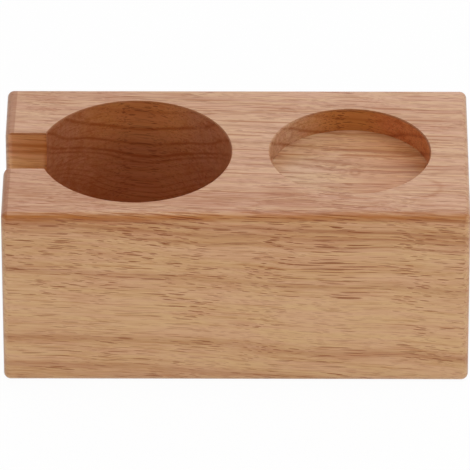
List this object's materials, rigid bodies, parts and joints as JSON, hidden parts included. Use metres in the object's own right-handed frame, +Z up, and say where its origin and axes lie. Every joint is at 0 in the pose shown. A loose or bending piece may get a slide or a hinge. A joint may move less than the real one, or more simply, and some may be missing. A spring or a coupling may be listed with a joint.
{
  "type": "espresso tamping station",
  "caption": "Solid wooden block with a deep round pocket and a handle slot for an espresso portafilter, and a shallow round recess that keeps the tamper.",
  "frame": {"origin": "on the table under the middle of the block", "axes": "+X along the grain, from the end with the handle slot to the end with the tamper recess; -Y the front; +Z up"},
  "size_m": [0.17, 0.088, 0.072],
  "materials": {
    "wood": "oiled, soft satin"
  },
  "bodies": {
    "root": {"block": "wood"}
  },
  "joints": []
}
